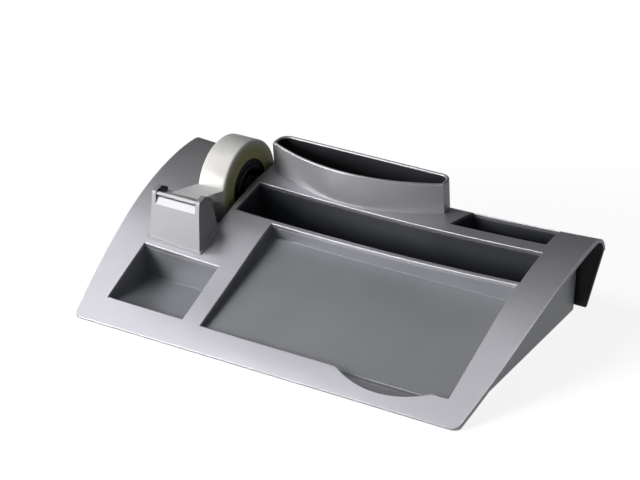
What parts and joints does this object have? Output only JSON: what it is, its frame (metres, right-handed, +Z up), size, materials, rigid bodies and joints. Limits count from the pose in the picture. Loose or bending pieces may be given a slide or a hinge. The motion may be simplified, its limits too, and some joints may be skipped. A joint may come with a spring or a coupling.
{
  "type": "desk organizer with tape dispenser and drawer",
  "caption": "Low wedge-shaped desk organizer with a sloping notes recess, paper slot, pen cup, card pocket, clip tray, tape dispenser with cutter and a drawer that slides out at the right end.",
  "frame": {"origin": "middle of the footprint, on the desk (the centre of the bottom of the bounding box)", "axes": "+X to the right along the front edge, where the drawer slides out; +Y to the back, where the body is highest; +Z up from the desk"},
  "size_m": [0.278, 0.1544, 0.0678],
  "materials": {
    "silver": "satin silver-grey paint",
    "silver_inside": "satin silver-grey paint",
    "charcoal": "fine matt",
    "black_plastic": "semi-matt",
    "tape": "frosted film, wound",
    "steel": "bright",
    "iron": "dark",
    "rubber": "matt"
  },
  "bodies": {
    "body": {"top_shell": "silver", "notes_tray": "silver_inside", "upright_slot": "silver_inside", "clip_tray": "silver_inside", "card_pocket": "silver_inside", "pen_cup": "silver", "tape_well": "silver_inside", "tape_axle": "black_plastic", "tape_strip": "tape", "cutter_tower": "silver", "cutter_blade": "steel", "ballast_plate": "iron", "drawer_runner_front": "charcoal", "drawer_runner_rear": "charcoal", "drawer_bumper": "rubber", "left_end_panel": "silver", "base_plate": "charcoal", "base_screws": "steel", "foot_left_front": "rubber", "foot_left_rear": "rubber", "foot_right_front": "rubber", "foot_right_rear": "rubber"},
    "drawer": {"drawer_front": "silver", "drawer_tray": "charcoal", "drawer_screws": "steel"},
    "roll": {"tape_hub": "black_plastic", "tape_core": "black_plastic", "tape_roll": "tape"}
  },
  "joints": [
    {"name": "drawer_slide", "type": "slide", "parent": "body", "child": "drawer", "axis": [1, 0, 0], "range_m": [0, 0.105]},
    {"name": "roll_spin", "type": "hinge", "parent": "body", "child": "roll", "pos_m": [-0.0935, 0.04545, 0.0398], "axis": [1, 0, 0], "continuous": true}
  ]
}
